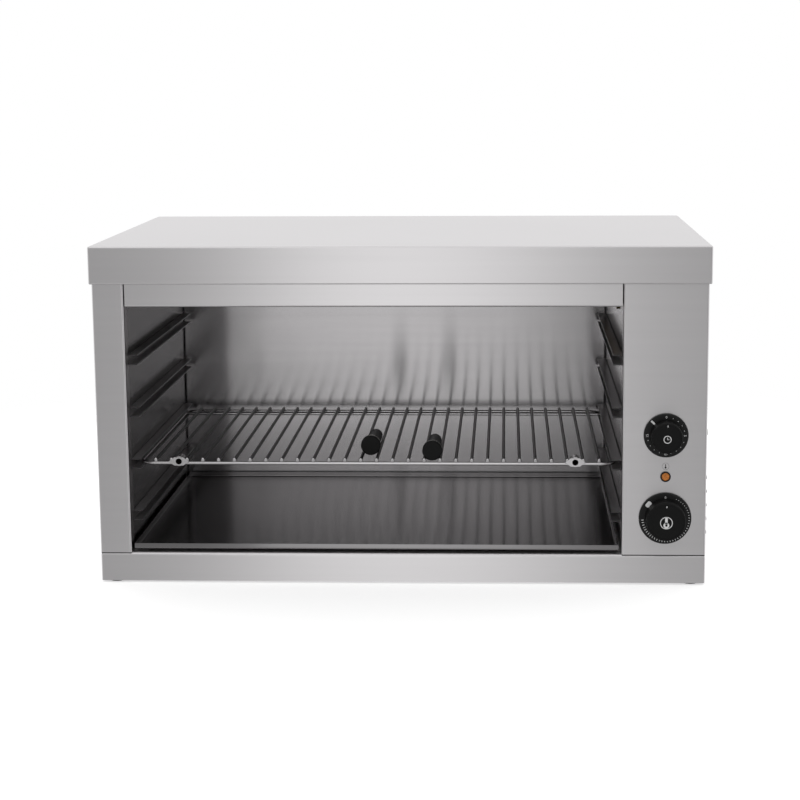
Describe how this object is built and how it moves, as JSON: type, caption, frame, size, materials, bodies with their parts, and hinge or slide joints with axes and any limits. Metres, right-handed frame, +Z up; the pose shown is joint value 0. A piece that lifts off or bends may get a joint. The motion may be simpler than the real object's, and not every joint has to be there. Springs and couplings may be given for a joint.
{
  "type": "cheese melter",
  "caption": "Open-fronted countertop grill cabinet of folded steel with runners, sliding wire grid, crumb tray, timer and thermostat knobs.",
  "frame": {"origin": "on the counter under the centre of the cover, in the plane of the rubber feet", "axes": "+X to the right along the cabinet, +Y to the back, +Z up; the open front looks towards -Y"},
  "size_m": [0.61, 0.358, 0.34],
  "materials": {
    "casing_steel": "brushed along the width",
    "cavity_steel": "bright rolled, brushed along the width",
    "runner_steel": "mill",
    "grid_chrome": "bright plated wire",
    "black_phenolic": "moulded",
    "black_dial": "printed",
    "zinc_steel": "zinc plated",
    "element_sheath": "heat-darkened",
    "brass": "turned",
    "ceramic": "unglazed",
    "amber_lens": "clear tinted",
    "black_rubber": "moulded",
    "grey_plastic": "moulded",
    "wire_sleeving": "glass-fibre sleeving",
    "mineral_wool": "fibrous slab"
  },
  "bodies": {
    "cabinet": {"back_cavity_wall": "cavity_steel", "back_insulation": "mineral_wool", "base_frame": "casing_steel", "bulb_clips": "cavity_steel", "cable_gland": "grey_plastic", "ceiling_reflector": "cavity_steel", "control_fixing_screws": "zinc_steel", "control_panel": "casing_steel", "cover_screws": "zinc_steel", "element_bushes": "brass", "element_hangers": "cavity_steel", "element_terminals": "ceramic", "front_element": "element_sheath", "front_fascia": "casing_steel", "left_cavity_wall": "cavity_steel", "left_insulation": "mineral_wool", "left_runner_1": "runner_steel", "left_runner_2": "runner_steel", "left_runner_3": "runner_steel", "left_runner_4": "runner_steel", "left_side_casing": "casing_steel", "pilot_bezel": "black_dial", "pilot_lens": "amber_lens", "rear_element": "element_sheath", "rear_panel": "casing_steel", "rear_panel_screws": "zinc_steel", "right_cavity_wall": "cavity_steel", "right_insulation": "mineral_wool", "right_runner_1": "runner_steel", "right_runner_2": "runner_steel", "right_runner_3": "runner_steel", "right_runner_4": "runner_steel", "right_side_panel": "casing_steel", "roof_insulation": "mineral_wool", "rubber_feet": "black_rubber", "side_panel_angle": "casing_steel", "side_panel_screw": "zinc_steel", "terminal_block": "ceramic", "thermostat_body": "grey_plastic", "thermostat_bulb": "brass", "thermostat_dial_ring": "black_dial", "timer_body": "grey_plastic", "timer_dial_ring": "black_dial", "top_cover": "casing_steel", "tray_rails": "runner_steel", "wiring_loom": "wire_sleeving"},
    "grid": {"grid_frame": "grid_chrome", "grid_bars": "grid_chrome", "left_handle_lug": "grid_chrome", "right_handle_lug": "grid_chrome"},
    "left_handle": {"left_handle_grip": "black_phenolic", "left_handle_stud": "zinc_steel"},
    "right_handle": {"right_handle_grip": "black_phenolic", "right_handle_stud": "zinc_steel"},
    "tray": {"crumb_tray": "cavity_steel"},
    "timer": {"timer_knob": "black_phenolic", "timer_spindle": "zinc_steel"},
    "thermostat": {"thermostat_knob": "black_phenolic", "thermostat_spindle": "zinc_steel"}
  },
  "joints": [
    {"name": "grid_slide", "type": "slide", "parent": "cabinet", "child": "grid", "axis": [0, -1, 0], "range_m": [0, 0.3]},
    {"name": "tray_slide", "type": "slide", "parent": "cabinet", "child": "tray", "axis": [0, -1, 0], "range_m": [0, 0.31]},
    {"name": "timer_turn", "type": "hinge", "parent": "cabinet", "child": "timer", "pos_m": [0.262, -0.163, 0.1526], "axis": [0, 1, 0], "range_deg": [-44, 270]},
    {"name": "thermostat_turn", "type": "hinge", "parent": "cabinet", "child": "thermostat", "pos_m": [0.262, -0.163, 0.0688], "axis": [0, 1, 0], "range_deg": [0, 266]},
    {"name": "left_handle_lift_off", "type": "slide", "parent": "grid", "child": "left_handle", "axis": [0, -0.9973, 0.0734], "range_m": [0, 0.16]},
    {"name": "right_handle_lift_off", "type": "slide", "parent": "grid", "child": "right_handle", "axis": [0, -0.9973, 0.0734], "range_m": [0, 0.14]}
  ]
}
